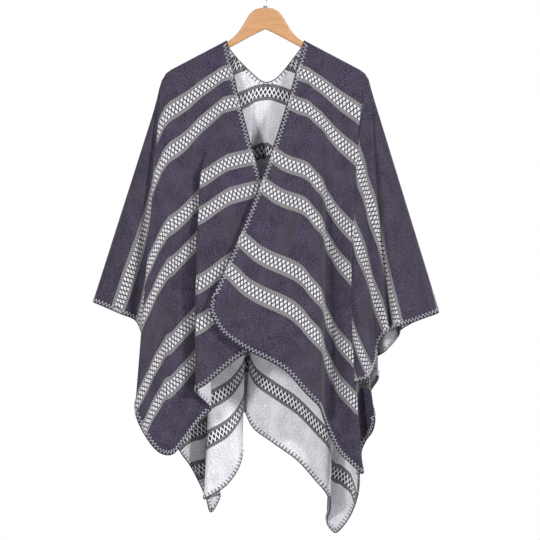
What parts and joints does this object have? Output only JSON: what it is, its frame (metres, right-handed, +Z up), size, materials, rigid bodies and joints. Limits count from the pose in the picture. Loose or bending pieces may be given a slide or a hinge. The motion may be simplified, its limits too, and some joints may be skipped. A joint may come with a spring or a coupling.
{
  "type": "ruana wrap on a wooden hanger",
  "caption": "Open-front blanket wrap with striped cloth and whipped edges, hung on a flat wooden hanger with a wire hook.",
  "frame": {"origin": "inside the top of the hook, where a rail carries the hanger", "axes": "+Z up, the front of the wrap faces -Y, +X to the right as seen from the front"},
  "size_m": [0.7444, 0.2065, 1.204],
  "materials": {
    "cloth_outer": "matte",
    "cloth_reverse": "matte",
    "wood": "satin",
    "hook_metal": "polished"
  },
  "bodies": {
    "root": {"front_over": "cloth_outer", "front_under": "cloth_outer", "back": "cloth_reverse", "hanger_wood": "wood", "hook_collar": "hook_metal", "hook": "hook_metal"}
  },
  "joints": []
}
